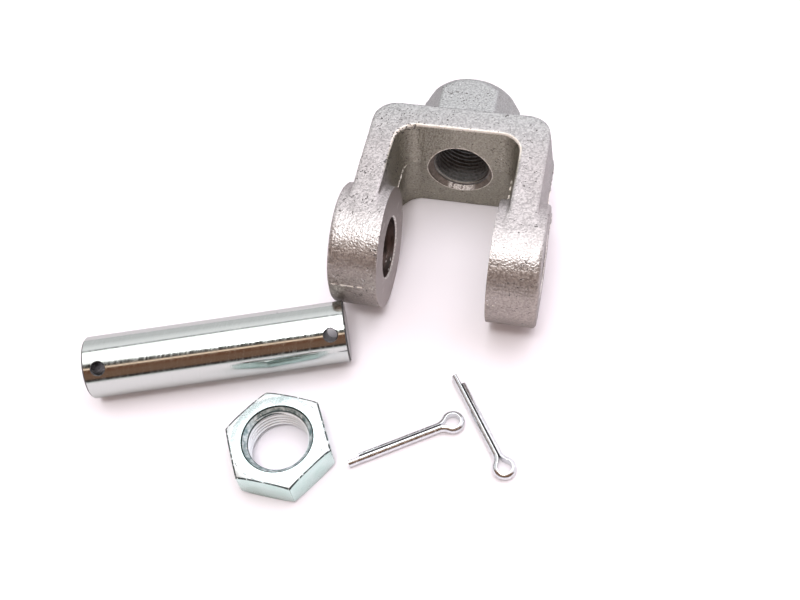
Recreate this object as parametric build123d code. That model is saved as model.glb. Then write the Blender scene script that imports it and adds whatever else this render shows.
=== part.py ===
"""Clevis rod end for a 3/4 inch pin and a 3/4-16 rod thread, laid out as a set.

Five pieces: the cast yoke, its clevis pin, its jam nut and two cotter pins.
The yoke lies on its side. The other four pieces lie beside it, taken off.

Frame, in millimetres: X runs along the pin bore, Y from the bore towards the
threaded boss, Z up. The origin is the middle of the pin bore, halfway between
the ears. The surface that the set lies on is one ear radius below it.
"""

import os
from math import cos, radians, sin, sqrt, tan

from build123d import *

# ------------------------------------------------ sizes that pieces share
PIN_DIAMETER = 19.05                # 3/4 inch
PIN_CLEARANCE = 0.05                # on the radius, pin in the ears
THREAD_DIAMETER = 19.05             # 3/4-16 UNF, over the crests of the rod
THREAD_PITCH = 25.4 / 16
THREAD_MOUTH_DIAMETER = 21.2        # of the countersinks in yoke and nut
COTTER_DIAMETER = 3.0               # two half-round legs side by side
COTTER_CLEARANCE = 0.5              # on the radius, cotter in its cross hole

# ------------------------------------------------ yoke, a drafted casting
EAR_RADIUS = 19.05
EAR_GAP = 32.8                      # between the machined inner faces
EAR_SPAN = 63.5                     # over the outer faces
EAR_CHAMFER = 0.8                   # outer rims only, the inner ones are machined sharp
BORE_EDGE_BREAK = 0.35
DRAFT = 6.7                         # degrees, both ways from the parting plane
PARTING_RISE = 3.6                  # parting plane above the bore axis
ARM_INNER = 17.9                    # half the space between the arms, at the parting plane
ARM_OUTER = 30.1                    # half the width over the arms, at the parting plane
BRIDGE_FRONT = 33.1                 # bore axis to the bridge, at the parting plane
BRIDGE_THICKNESS = 12.5
JAW_CORNER = 5.0                    # plan radius inside the jaw, at the parting plane
SHOULDER_CORNER = 9.2               # plan radius outside, at the parting plane
ARM_EDGE_BREAK = 0.6
BOSS_ACROSS_FLATS = 31.6
BOSS_END = 61.2                     # bore axis to the end of the boss
BOSS_END_RADIUS = 15.2
BOSS_TAPER = 30.5                   # degrees from the axis, the turned end
COUNTERBORE_DEPTH = 1.8             # from the bridge, around the thread's mouth in the jaw

# ------------------------------------------------ clevis pin
COTTER_HOLE_SPACING = 69.85         # 2 3/4 inch
COTTER_HOLE_TO_END = 4.775          # hole's axis to the end of the pin
PIN_END_CHAMFER = 0.5
COTTER_HOLE_BREAK = 0.3
COTTER_HOLE_TILT = 54.5             # degrees above level, as the pin lies

# ------------------------------------------------ jam nut
NUT_ACROSS_FLATS = 28.0
NUT_THICKNESS = 10.8
NUT_CHAMFER = 30.0                  # degrees from the nut's face
NUT_FACE_DIAMETER = 27.0            # washer face left inside the chamfer

# ------------------------------------------------ cotter pins
SHORT_LEG_LENGTH = 25.6             # neck to tip
LONG_LEG_LENGTH = 29.3
COTTER_LEG_GAP = 0.12               # between the two flats
COTTER_EYE_RADIUS = 2.1             # inside of the loop
COTTER_NECK_RADIUS = 2.6            # flat of the wire, where it leaves the neck

# ------------------------------------------------ how the loose pieces lie
PIN_END_ACROSS = 24.9               # pin's near end, left of the middle plane
PIN_LAY = 18.95                     # degrees from X
PIN_TO_EAR = 0.1                    # clearance of the pin's end from the ear
PIN_END_TO_NUT = 23.5               # nut's centre, back along the pin from its near end
NUT_TO_PIN = 7.8                    # from the pin's side to the nut's corner circle
NUT_LAY = -2.2                      # degrees, a corner from X
LEFT_COTTER_TO_NUT = 3.8            # long tip to the nut's corner circle
LEFT_COTTER_LAY = -147.1            # degrees, the way that the legs point
RIGHT_COTTER_LAY = 124.4
NECK_TO_NECK_ACROSS = 18.2          # right cotter's neck from the left one's, along X
NECK_TO_NECK_FORWARD = 6.5          # and along -Y

# ------------------------------------------------ worked out
FLOOR = -EAR_RADIUS
EAR_THICKNESS = (EAR_SPAN - EAR_GAP) / 2
BRIDGE_BACK = BRIDGE_FRONT + BRIDGE_THICKNESS
PIN_BORE_RADIUS = PIN_DIAMETER / 2 + PIN_CLEARANCE
PIN_LENGTH = COTTER_HOLE_SPACING + 2 * COTTER_HOLE_TO_END      # 3 1/8 inch
TAPPED_RADIUS = (THREAD_DIAMETER - THREAD_PITCH) / 2    # tapping drill
THREAD_MOUTH_RADIUS = THREAD_MOUTH_DIAMETER / 2
THREAD_SINK = THREAD_MOUTH_RADIUS - TAPPED_RADIUS       # depth of a 45 degree countersink
COTTER_HOLE_RADIUS = COTTER_DIAMETER / 2 + COTTER_CLEARANCE
NUT_CORNER_RADIUS = NUT_ACROSS_FLATS / sqrt(3)
OVERSHOOT = 1.0                     # how far a cutting body runs past what it cuts


def hexagon(across_flats):
    """Hexagon with a corner on the sketch's X and a flat square to its Y."""
    return RegularPolygon(radius=across_flats / 2, side_count=6, major_radius=False)


def turned(*outline):
    """Solid of revolution about Z from the corners of its half section."""
    return revolve(Plane.XZ * make_face(Polyline(*outline, close=True)), Axis.Z)


# ================================================================== yoke
def arms_plan():
    """The U of arms and bridge seen from above, at the parting plane."""
    front = -EAR_RADIUS - OVERSHOOT
    outer = Pos(0, (front + BRIDGE_BACK) / 2) * Rectangle(2 * ARM_OUTER, BRIDGE_BACK - front)
    outer = fillet(outer.vertices().sort_by(Axis.Y)[-2:], SHOULDER_CORNER)
    mouth = front - OVERSHOOT
    inner = Pos(0, (mouth + BRIDGE_FRONT) / 2) * Rectangle(2 * ARM_INNER, BRIDGE_FRONT - mouth)
    inner = fillet(inner.vertices().sort_by(Axis.Y)[-2:], JAW_CORNER)
    return outer - inner


def mould_half(height):
    """What one half of the mould forms: the U from the parting plane up, or down, by a height."""
    parting = Plane((0, 0, PARTING_RISE))
    half = extrude(parting * arms_plan(), amount=height)
    front = half.faces().sort_by(Axis.Y)[0]
    walls = [f for f in half.faces() if f != front and abs(f.normal_at().Z) < 0.5]
    return draft(walls, neutral_plane=parting, angle=DRAFT if height > 0 else -DRAFT)


def side_outline():
    """Side view shared by arms and bridge: round at the bore, flat above and below."""
    length = BRIDGE_BACK + OVERSHOOT
    outline = Circle(EAR_RADIUS) + Pos(length / 2, 0) * Rectangle(length, 2 * EAR_RADIUS)
    return extrude(Plane.YZ * outline, amount=ARM_OUTER + OVERSHOOT, both=True)


def arms():
    over = EAR_RADIUS + OVERSHOOT
    block = mould_half(over - PARTING_RISE) + mould_half(-over - PARTING_RISE)
    block = block & side_outline()
    rims = [e for e in block.edges() if abs(abs(e.center().Z) - EAR_RADIUS) < 1e-3]
    return chamfer(rims, ARM_EDGE_BREAK)


def ears():
    disc = Rot(0, 90, 0) * Cylinder(EAR_RADIUS, EAR_THICKNESS)
    disc = chamfer(disc.edges().sort_by(Axis.X)[-1], EAR_CHAMFER)
    right = Pos((EAR_GAP + EAR_THICKNESS) / 2, 0, 0) * disc
    return right + mirror(right, Plane.YZ)


def boss():
    """Hexagon with its end turned to a cone."""
    root = (BRIDGE_FRONT + BRIDGE_BACK) / 2
    length = BOSS_END - root
    away = Plane((0, root, 0), x_dir=(1, 0, 0), z_dir=(0, 1, 0))
    prism = extrude(away * hexagon(BOSS_ACROSS_FLATS), amount=length)
    root_radius = BOSS_END_RADIUS + length * tan(radians(BOSS_TAPER))
    cone = away * (Pos(0, 0, length / 2) * Cone(root_radius, BOSS_END_RADIUS, length))
    return prism & cone


def rod_hole():
    """Cutting body of the tapped hole: counterbored in the jaw, countersunk at both mouths."""
    along = Plane((0, BRIDGE_FRONT, 0), x_dir=(1, 0, 0), z_dir=(0, 1, 0))
    length = BOSS_END - BRIDGE_FRONT
    return along * turned(
        (0, -OVERSHOOT),
        (THREAD_MOUTH_RADIUS, -OVERSHOOT),
        (THREAD_MOUTH_RADIUS, COUNTERBORE_DEPTH),
        (TAPPED_RADIUS, COUNTERBORE_DEPTH + THREAD_SINK),
        (TAPPED_RADIUS, length - THREAD_SINK),
        (THREAD_MOUTH_RADIUS + OVERSHOOT, length + OVERSHOOT),
        (0, length + OVERSHOOT),
    )


def pin_bore():
    """Bore through both ears, its four mouths broken."""
    bore = Rot(0, 90, 0) * Cylinder(PIN_BORE_RADIUS, EAR_SPAN + 2 * OVERSHOOT)
    mouth = PIN_BORE_RADIUS + BORE_EDGE_BREAK
    for face_x in (EAR_GAP / 2, EAR_SPAN / 2):
        into_ear = 1 if face_x < EAR_SPAN / 2 else -1
        sink = Rot(0, 90 * into_ear, 0) * Cone(mouth, PIN_BORE_RADIUS, BORE_EDGE_BREAK)
        sink = Pos(face_x + into_ear * BORE_EDGE_BREAK / 2, 0, 0) * sink
        bore += sink + mirror(sink, Plane.YZ)
    return bore


def yoke():
    casting = arms() + ears() + boss()
    return casting - rod_hole() - pin_bore()


# ================================================================== clevis pin
def clevis_pin():
    """Round pin along X with a cross hole near each end, middle at the origin."""
    pin = Rot(0, 90, 0) * Cylinder(PIN_DIAMETER / 2, PIN_LENGTH)
    pin = chamfer(pin.edges().filter_by(GeomType.CIRCLE), PIN_END_CHAMFER)
    for side in (-1, 1):
        hole = Cylinder(COTTER_HOLE_RADIUS, PIN_DIAMETER + 2 * OVERSHOOT)
        pin -= Pos(side * COTTER_HOLE_SPACING / 2, 0, 0) * hole
    mouths = [e for e in pin.edges() if e.geom_type == GeomType.BSPLINE]
    return chamfer(mouths, COTTER_HOLE_BREAK)


def pin_end_back():
    """How far in front of the bore axis the pin's near end must lie to clear the ear.

    Seen along the bore, the ear is a circle and each rim of the pin's chamfered
    end an ellipse, and all stand on one surface. Every point of both rims has to
    keep clear of the ear.
    """
    axis_height = FLOOR + PIN_DIAMETER / 2
    clear = EAR_RADIUS + PIN_TO_EAR
    needed = []
    for rim_back, rim_cut in ((0, PIN_END_CHAMFER), (PIN_END_CHAMFER, 0)):
        rim_radius = PIN_DIAMETER / 2 - rim_cut
        for angle in range(0, 91, 3):
            height = axis_height + rim_radius * sin(radians(angle))
            rim_reach = rim_radius * cos(radians(angle)) * cos(radians(PIN_LAY))
            rim_reach -= rim_back * sin(radians(PIN_LAY))
            needed.append(sqrt(clear**2 - height**2) + rim_reach)
    return max(needed)


# ================================================================== jam nut
def jam_nut():
    """Thin hexagon nut, both faces chamfered and both mouths countersunk, base at Z = 0."""
    prism = extrude(hexagon(NUT_ACROSS_FLATS), amount=NUT_THICKNESS)
    face = NUT_FACE_DIAMETER / 2
    rim = NUT_CORNER_RADIUS + OVERSHOOT
    fall = (rim - face) * tan(radians(NUT_CHAMFER))
    blank = prism & turned(
        (0, 0),
        (face, 0),
        (rim, fall),
        (rim, NUT_THICKNESS - fall),
        (face, NUT_THICKNESS),
        (0, NUT_THICKNESS),
    )
    return blank - turned(
        (0, -OVERSHOOT),
        (THREAD_MOUTH_RADIUS + OVERSHOOT, -OVERSHOOT),
        (TAPPED_RADIUS, THREAD_SINK),
        (TAPPED_RADIUS, NUT_THICKNESS - THREAD_SINK),
        (THREAD_MOUTH_RADIUS + OVERSHOOT, NUT_THICKNESS + OVERSHOOT),
        (0, NUT_THICKNESS + OVERSHOOT),
    )


# ================================================================== cotter pins
def cotter_pin():
    """Half-round wire bent to a loop and two legs, flats inwards, neck at the origin.

    The legs point along +X and the loop lies in the XY plane. The wire's flat
    follows the path, and its round side looks out.
    """
    half_gap = COTTER_LEG_GAP / 2
    neck_centre = half_gap + COTTER_NECK_RADIUS
    both_radii = COTTER_NECK_RADIUS + COTTER_EYE_RADIUS
    eye_centre = -sqrt(both_radii**2 - neck_centre**2)
    turn = (
        eye_centre * COTTER_NECK_RADIUS / both_radii,
        neck_centre * COTTER_EYE_RADIUS / both_radii,
    )
    far_turn = (turn[0], -turn[1])
    path = Wire(
        [
            Line((LONG_LEG_LENGTH, half_gap), (0, half_gap)),
            TangentArc((0, half_gap), turn, tangent=(-1, 0)),
            ThreePointArc(turn, (eye_centre - COTTER_EYE_RADIUS, 0), far_turn),
            TangentArc((0, -half_gap), far_turn, tangent=(-1, 0)),
            Line((0, -half_gap), (SHORT_LEG_LENGTH, -half_gap)),
        ]
    )
    wire_radius = COTTER_DIAMETER / 2
    lower_half = Pos(0, -wire_radius) * Rectangle(COTTER_DIAMETER, COTTER_DIAMETER)
    half_round = Circle(wire_radius) - lower_half
    tip = Plane((LONG_LEG_LENGTH, half_gap, 0), x_dir=(0, 0, 1), z_dir=(-1, 0, 0))
    return sweep(tip * half_round, path=path)


# ================================================================== laying out
def polar(distance, heading):
    """Step of a length in a direction, in the XY plane."""
    return Vector(distance * cos(radians(heading)), distance * sin(radians(heading)), 0)


def laid_down(piece, place, heading):
    """Piece turned about Z, moved to its place, and set on the surface."""
    placed = Pos(place.X, place.Y, 0) * Rot(0, 0, heading) * piece
    return Pos(0, 0, FLOOR - placed.bounding_box().min.Z) * placed


def set_of_pieces():
    """Node name and solid of every piece, as the set lies."""
    pin_end = Vector(-PIN_END_ACROSS, -pin_end_back(), 0)
    pin_middle = pin_end - polar(PIN_LENGTH / 2, PIN_LAY)
    from_pin = PIN_DIAMETER / 2 + NUT_TO_PIN + NUT_CORNER_RADIUS
    nut_middle = pin_end - polar(PIN_END_TO_NUT, PIN_LAY) - polar(from_pin, PIN_LAY + 90)
    long_tip = nut_middle + Vector(NUT_CORNER_RADIUS + LEFT_COTTER_TO_NUT, 0, 0)
    left_neck = long_tip - polar(LONG_LEG_LENGTH, LEFT_COTTER_LAY)
    right_neck = left_neck + Vector(NECK_TO_NECK_ACROSS, -NECK_TO_NECK_FORWARD, 0)
    tilted_pin = Rot(90 - COTTER_HOLE_TILT, 0, 0) * clevis_pin()
    return {
        "yoke": yoke(),
        "clevis_pin": laid_down(tilted_pin, pin_middle, PIN_LAY),
        "jam_nut": laid_down(jam_nut(), nut_middle, NUT_LAY),
        "cotter_pin_left": laid_down(cotter_pin(), left_neck, LEFT_COTTER_LAY),
        "cotter_pin_right": laid_down(cotter_pin(), right_neck, RIGHT_COTTER_LAY),
    }


os.makedirs("parts", exist_ok=True)
for node, solid in set_of_pieces().items():
    export_step(solid, f"parts/{node}.step")
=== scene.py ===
"""Looks of the clevis rod end: the cast yoke with its pin, jam nut and cotter pins beside it.

Metres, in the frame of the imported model: X along the pin bore, Y from the bore
towards the threaded boss, Z up. The origin is the middle of the pin bore.
"""
from math import atan2, exp, pi, radians, sin, sqrt, tan

import bpy
from mathutils import Matrix, Vector, noise


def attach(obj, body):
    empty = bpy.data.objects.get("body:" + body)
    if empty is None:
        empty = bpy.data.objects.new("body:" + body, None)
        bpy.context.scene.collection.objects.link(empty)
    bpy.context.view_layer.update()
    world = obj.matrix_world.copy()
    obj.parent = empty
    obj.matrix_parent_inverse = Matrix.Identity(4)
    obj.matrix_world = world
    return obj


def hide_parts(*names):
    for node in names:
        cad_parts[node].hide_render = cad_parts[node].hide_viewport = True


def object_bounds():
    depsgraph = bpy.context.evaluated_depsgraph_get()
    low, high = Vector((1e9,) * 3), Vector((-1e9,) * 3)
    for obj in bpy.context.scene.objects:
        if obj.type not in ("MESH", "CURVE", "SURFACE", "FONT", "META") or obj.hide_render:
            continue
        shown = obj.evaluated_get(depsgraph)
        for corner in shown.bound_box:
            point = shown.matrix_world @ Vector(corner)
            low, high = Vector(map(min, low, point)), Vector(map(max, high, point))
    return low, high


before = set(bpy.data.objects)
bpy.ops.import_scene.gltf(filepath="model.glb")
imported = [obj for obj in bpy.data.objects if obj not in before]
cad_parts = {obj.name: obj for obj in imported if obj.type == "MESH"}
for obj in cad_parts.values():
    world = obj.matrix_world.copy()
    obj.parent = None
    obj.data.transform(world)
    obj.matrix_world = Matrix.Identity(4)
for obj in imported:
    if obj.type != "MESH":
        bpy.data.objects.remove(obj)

cad_low, cad_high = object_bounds()
FLOOR = cad_low.z
bpy.ops.object.select_all(action="DESELECT")

# ========================================
# Camera. It looks down on the set from in front of the jaw, a little to
# the right of it, and leans slightly to one side.
# ========================================
CAMERA_PLACE = (0.03949, -0.17150, 0.24202)
CAMERA_TURN = radians(17.694)           # left of the boss's direction
CAMERA_DIP = radians(56.476)            # below level
CAMERA_LEAN = radians(-7.146)
CAMERA_LENS = 43.40                     # millimetres
CAMERA_SENSOR = 36                      # millimetres wide
CAMERA_NEAREST = 0.01                   # nothing nearer than this is shown

bpy.ops.object.camera_add()
camera = bpy.context.object
camera.name = "camera"
camera.matrix_world = (
    Matrix.Translation(CAMERA_PLACE)
    @ Matrix.Rotation(CAMERA_TURN, 4, "Z")
    @ Matrix.Rotation(pi / 2 - CAMERA_DIP, 4, "X")
    @ Matrix.Rotation(CAMERA_LEAN, 4, "Z")
)
camera.data.lens = CAMERA_LENS
camera.data.sensor_width = CAMERA_SENSOR
camera.data.clip_start = CAMERA_NEAREST
bpy.context.scene.camera = camera
bpy.context.scene.view_settings.view_transform = "Standard"

# ========================================
# Table, room and lamp. A white table top, a pale ceiling that is the
# main light, a grey wall behind the boss, and a dim brown room in front.
# ========================================
TABLE_SIZE = 3.0
TABLE_COLOUR = (0.90, 0.862, 0.905, 1)
TABLE_GLOW = 0.05                       # plain white added to the table's own shade
CEILING_FRONT = (2.05, 1.98, 1.97, 1)
CEILING_BACK = (2.35, 2.35, 2.35, 1)
WALL_LOW = (0.86, 0.85, 0.87, 1)
WALL_HIGH = (1.25, 1.23, 1.26, 1)
WALL_SHADOW = (0.20, 0.20, 0.21, 1)
ROOM_BROWN = (0.25, 0.14, 0.095, 1)
ROOM_DARK_BROWN = (0.21, 0.095, 0.055, 1)
ROOM_SHADOW = (0.07, 0.058, 0.05, 1)
ROOM_STRIP = (1.75, 1.30, 1.00, 1)      # long lamp along the front wall
ROOM_SKIRTING = (0.05, 0.042, 0.036, 1)
PAPER_FAR = (0.95, 0.93, 0.94, 1)       # the white paper where it curls up in front
WINDOW_SHARE = (1.40, 1.35, 1.40, 1)    # how much brighter the right half is at the back
WINDOW_FROM = (-0.28, 0.0)              # along X, of a direction one unit long
BACK_FROM = (-0.25, 0.15)               # along Y, where the front of the room ends
KEY_POWER = 2.75                        # watts
KEY_SIZE = 0.21
KEY_PLACE = (-0.05, -0.33, 0.94)
WHITE = (1, 1, 1, 1)


def feed(socket, value):
    """Sets a socket to a number or colour, or links another node's output to it."""
    if isinstance(value, (int, float, tuple)):
        socket.default_value = value
    else:
        socket.id_data.links.new(value, socket)


def new_node(tree, kind, **settings):
    """Adds a node to a tree and sets what is named: its own settings, or else its inputs."""
    node = tree.nodes.new(kind)
    for name, value in settings.items():
        if hasattr(node, name):
            setattr(node, name, value)
        else:
            feed(node.inputs[name.replace("_", " ")], value)
    return node


def tree_of(*values):
    """The node tree of the first node output among some values."""
    return next(value.id_data for value in values if isinstance(value, bpy.types.NodeSocket))


def calculate(operation, first, *others):
    """Math node on one value or two, or a chain of them on more."""
    for other in others or (0,):
        node = new_node(tree_of(first, other), "ShaderNodeMath", operation=operation)
        feed(node.inputs[0], first)
        feed(node.inputs[1], other)
        first = node.outputs[0]
    return first


def times(*values):
    return calculate("MULTIPLY", *values)


def fade(value, start, end):
    """0 where a value is at its start, 1 at its end, smooth between."""
    node = new_node(value.id_data, "ShaderNodeMapRange", interpolation_type="SMOOTHSTEP", Value=value)
    node.inputs["From Min"].default_value = start
    node.inputs["From Max"].default_value = end
    return node.outputs[0]


def mixed(factor, first, second, blend="MIX"):
    """Colour between two, each a colour or a node's output."""
    settings = {"data_type": "RGBA", "blend_type": blend, "Factor": factor, "A": first, "B": second}
    return new_node(tree_of(factor, first, second), "ShaderNodeMix", **settings).outputs["Result"]


def axes_of(place):
    """The three coordinates of a place or direction."""
    return new_node(place.id_data, "ShaderNodeSeparateXYZ", Vector=place).outputs


def wall_and_ceiling(height, *bands):
    """Colours by height above level, each band an angle in degrees and its colour."""
    node = new_node(height.id_data, "ShaderNodeValToRGB", Fac=height)
    stops = node.color_ramp.elements
    stops.remove(stops[1])
    stops[0].color = bands[0][1]
    for angle, colour in bands[1:]:
        stops.new(sin(radians(angle))).color = colour
    return node.outputs[0]


def paint_world():
    world = bpy.data.worlds.new("room")
    bpy.context.scene.world = world
    world.use_nodes = True
    tree = world.node_tree
    tree.nodes.clear()
    x, y, z = axes_of(new_node(tree, "ShaderNodeTexCoord").outputs["Generated"])
    front = wall_and_ceiling(
        z,
        (0, PAPER_FAR),
        (2, PAPER_FAR),
        (5, ROOM_SKIRTING),
        (12, ROOM_SKIRTING),
        (15, ROOM_BROWN),
        (32, ROOM_BROWN),
        (38, ROOM_DARK_BROWN),
        (47, ROOM_DARK_BROWN),
        (49, ROOM_STRIP),
        (51.5, ROOM_STRIP),
        (53, ROOM_SHADOW),
        (64, ROOM_SHADOW),
        (67, CEILING_FRONT),
    )
    back = wall_and_ceiling(
        z,
        (0, WALL_LOW),
        (26, WALL_LOW),
        (45, WALL_HIGH),
        (52, WALL_HIGH),
        (53, WALL_SHADOW),
        (56.7, WALL_SHADOW),
        (58, CEILING_BACK),
    )
    lit_back = mixed(fade(x, *WINDOW_FROM), back, WINDOW_SHARE, "MULTIPLY")
    blend = mixed(fade(y, *BACK_FROM), front, lit_back)
    seen = new_node(tree, "ShaderNodeLightPath").outputs["Is Camera Ray"]
    background = new_node(tree, "ShaderNodeBackground", Color=mixed(seen, blend, WHITE))
    new_node(tree, "ShaderNodeOutputWorld", Surface=background.outputs[0])


def lay_table():
    bpy.ops.mesh.primitive_plane_add(size=TABLE_SIZE, location=(0, 0, FLOOR))
    table = bpy.context.object
    table.name = "table"
    material = bpy.data.materials.new("table white")
    material.use_nodes = True
    tree = material.node_tree
    tree.nodes.clear()
    matt = new_node(tree, "ShaderNodeBsdfDiffuse", Color=TABLE_COLOUR)
    seen = new_node(tree, "ShaderNodeLightPath").outputs["Is Camera Ray"]
    glow = new_node(tree, "ShaderNodeEmission", Color=WHITE, Strength=times(seen, TABLE_GLOW))
    both = new_node(tree, "ShaderNodeAddShader")
    feed(both.inputs[0], matt.outputs[0])
    feed(both.inputs[1], glow.outputs[0])
    new_node(tree, "ShaderNodeOutputMaterial", Surface=both.outputs[0])
    table.data.materials.append(material)


def hang_lamp():
    bpy.ops.object.light_add(type="AREA", location=KEY_PLACE)
    lamp = bpy.context.object
    lamp.name = "key lamp"
    lamp.data.shape = "DISK"
    lamp.data.size = KEY_SIZE
    lamp.data.energy = KEY_POWER
    lamp.rotation_mode = "QUATERNION"
    lamp.rotation_quaternion = Vector(KEY_PLACE).to_track_quat("Z", "Y")


paint_world()
lay_table()
hang_lamp()

# ========================================
# Yoke. A steel or iron casting made in two mould halves, with a flash
# line where they met, then blasted. Only the faces between the ears, the
# pin bore, the thread and the boss's end are machined.
# ========================================
EAR_RADIUS = 0.01905
EAR_GAP = 0.0328
EAR_SPAN = 0.0635
EAR_RIM_ROUND = 0.0009
BORE_RADIUS = 0.009575
BORE_EDGE_BREAK = 0.00045
DRAFT = radians(6.7)
PARTING_RISE = 0.0036
ARM_INNER = 0.0179
ARM_OUTER = 0.0301
BRIDGE_FRONT = 0.0331
BRIDGE_BACK = 0.0456
JAW_CORNER = 0.0050
SHOULDER_CORNER = 0.0092
BOSS_ACROSS_FLATS = 0.0316
BOSS_END = 0.0612
BOSS_END_RADIUS = 0.0152
BOSS_TAPER = radians(30.5)
THREAD_PITCH = 0.0254 / 16
THREAD_ROOT_RADIUS = 0.019050 / 2
THREAD_CREST_RADIUS = THREAD_ROOT_RADIUS - THREAD_PITCH / 2
THREAD_MOUTH_RADIUS = 0.0106
COUNTERBORE_DEPTH = 0.0018
MACHINING_STOCK = 0.0006                # left on the ears for milling the jaw
MILLING_REACH = 0.004                   # how far the milled space runs past the ears
FACING_BLOCK = 0.05                     # side of the cube that faces the boss
JAW_RIM_ROUND = 0.0011
SHOULDER_RIM_ROUND = 0.0006
CAST_GRAIN_SIZE = 0.00048               # of the casting's finest modelled bumps
FLASH_HALF_WIDTH = 0.00022
FLASH_FOOT = 3                          # half widths from the parting plane, where the fin ends
FLASH_HEIGHT = 0.0007                   # where the fin is at its heaviest
# the fin along each stretch: its height in the gaps, the gain, and size and seed of its teeth
FLASH_ON_BRIDGE = (-0.528, 1.1, (0.0016, 6.3))
FLASH_ON_EARS = (-0.546, 1.3, (0.0022, 1.7))
FLASH_IN_JAW = (0.45, 1.1, (0.0030, 5.2))
FLASH_ELSEWHERE = (0.20, 0.9, (0.0050, 3.1), (0.0012, 8.4))
HEAVY_FLASH_ALONG = (0.01205, 0.0291)   # along Y, where it is heavy inside the right arm
HEAVY_FLASH_REACH = 0.003               # from the arm's wall
WALL_STEEPNESS = 0.6                    # upward part of a normal, on walls that have a fin
THREAD_STEPS = 72                       # round one turn
OVERSHOOT = 0.001                       # how far a cutting body runs past what it cuts
SAME_PLACE = 1e-6                       # places nearer than this are one


def choose(piece, *others):
    """Selects these pieces and no other, and makes the first one active."""
    bpy.ops.object.select_all(action="DESELECT")
    for item in (piece, *others):
        item.select_set(True)
    bpy.context.view_layer.objects.active = piece


def open_piece(piece, part="VERT", chosen=None):
    """Opens a piece in edit mode, with the vertices, edges or faces that pass a test selected."""
    choose(piece)
    bpy.context.tool_settings.mesh_select_mode = [part == kind for kind in ("VERT", "EDGE", "FACE")]
    mesh = piece.data
    for items in (mesh.vertices, mesh.edges, mesh.polygons):
        items.foreach_set("select", [chosen is None] * len(items))
    if chosen:
        if part == "VERT":
            middles = [v.co for v in mesh.vertices]
        elif part == "EDGE":
            middles = [(mesh.vertices[a].co + mesh.vertices[b].co) / 2 for a, b in mesh.edge_keys]
        else:
            middles = [f.center for f in mesh.polygons]
        items = {"VERT": mesh.vertices, "EDGE": mesh.edges, "FACE": mesh.polygons}[part]
        items.foreach_set("select", [bool(chosen(m)) for m in middles])
    bpy.ops.object.mode_set(mode="EDIT")


def close_piece():
    bpy.ops.object.mode_set(mode="OBJECT")


def close_solid():
    """Leaves edit mode with every face looking outward."""
    bpy.ops.mesh.select_all(action="SELECT")
    bpy.ops.mesh.normals_make_consistent(inside=False)
    close_piece()


def bevel(piece, part, chosen, width, segments):
    """Bevels the vertices of a flat piece, or the edges of a solid, that pass a test."""
    open_piece(piece, part, chosen)
    bpy.ops.mesh.bevel(offset=width, segments=segments, affect="EDGES" if part == "EDGE" else "VERTICES")
    close_piece()


def settle(piece):
    """Puts a piece's place and turn into its mesh."""
    choose(piece)
    bpy.ops.object.transform_apply(location=True, rotation=True, scale=True)
    return piece


def join(first, *others):
    """Makes several pieces one mesh, with the first one's name."""
    choose(first, *others)
    bpy.ops.object.join()
    return first


def apply_modifier(piece, kind, **settings):
    """Adds a modifier with its settings and applies it at once."""
    bpy.context.view_layer.objects.active = piece
    modifier = piece.modifiers.new(kind.lower(), kind)
    for name, value in settings.items():
        setattr(modifier, name, value)
    bpy.ops.object.modifier_apply(modifier=modifier.name)
    return piece


def combine(piece, operation, other):
    """Cuts, joins or trims a piece with another one, which is used up."""
    apply_modifier(
        piece, "BOOLEAN", operation=operation, object=other, solver="EXACT", material_mode="TRANSFER"
    )
    bpy.data.objects.remove(other)
    return piece


def turned(name, *outline, steps=128):
    """Solid of revolution about Z, drawn up ring by ring from (radius, height) pairs."""
    (radius, height), *rings = outline
    bpy.ops.mesh.primitive_circle_add(
        vertices=steps, radius=radius, fill_type="NGON", location=(0, 0, height)
    )
    piece = settle(bpy.context.object)
    piece.name = name
    open_piece(piece)
    for next_radius, next_height in rings:
        rise = (0, 0, next_height - height)
        bpy.ops.mesh.extrude_region_move(TRANSFORM_OT_translate={"value": rise})
        share = next_radius / radius
        bpy.ops.transform.resize(value=(share, share, 1))
        radius, height = next_radius, next_height
    close_solid()
    return piece


def placed(piece, place=(0, 0, 0), turn=(0, 0, 0)):
    """Turns a piece about the axes, moves it, and settles it there."""
    piece.rotation_euler = turn
    piece.location = place
    return settle(piece)


TO_X = (0, pi / 2, 0)                   # turns that lay a piece made along Z on X or Y
TO_Y = (-pi / 2, 0, 0)
CORNER_TO_X = pi / 6                    # turns a six-sided solid until a corner lies on X


def mould_half(height):
    """The U of arms and bridge on one side of the parting plane, narrowing away from it."""
    bpy.ops.mesh.primitive_grid_add(x_subdivisions=3, y_subdivisions=2, size=2)
    half = bpy.context.object
    columns = {-3: -ARM_OUTER, -1: -ARM_INNER, 1: ARM_INNER, 3: ARM_OUTER}      # by thirds
    rows = {-1: -2 * EAR_RADIUS, 0: BRIDGE_FRONT, 1: BRIDGE_BACK}
    for vertex in half.data.vertices:
        column, row = round(3 * vertex.co.x), round(vertex.co.y)
        vertex.co = columns[column], rows[row], PARTING_RISE
    open_piece(half, "FACE", lambda m: abs(m.x) < ARM_INNER / 2 and m.y < BRIDGE_FRONT)
    bpy.ops.mesh.delete(type="FACE")
    bpy.ops.mesh.select_all(action="SELECT")
    bpy.ops.mesh.dissolve_limited(angle_limit=radians(1))
    close_piece()
    for aside, along, corner in (
        (ARM_OUTER, BRIDGE_BACK, SHOULDER_CORNER),
        (ARM_INNER, BRIDGE_FRONT, JAW_CORNER),
    ):
        at_corner = lambda m: abs(abs(m.x) - aside) + abs(m.y - along) < SAME_PLACE
        bevel(half, "VERT", at_corner, width=corner, segments=10)
    open_piece(half, "FACE")
    bpy.ops.mesh.inset(thickness=abs(height) * tan(DRAFT), depth=height)
    close_piece()
    return half


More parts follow.
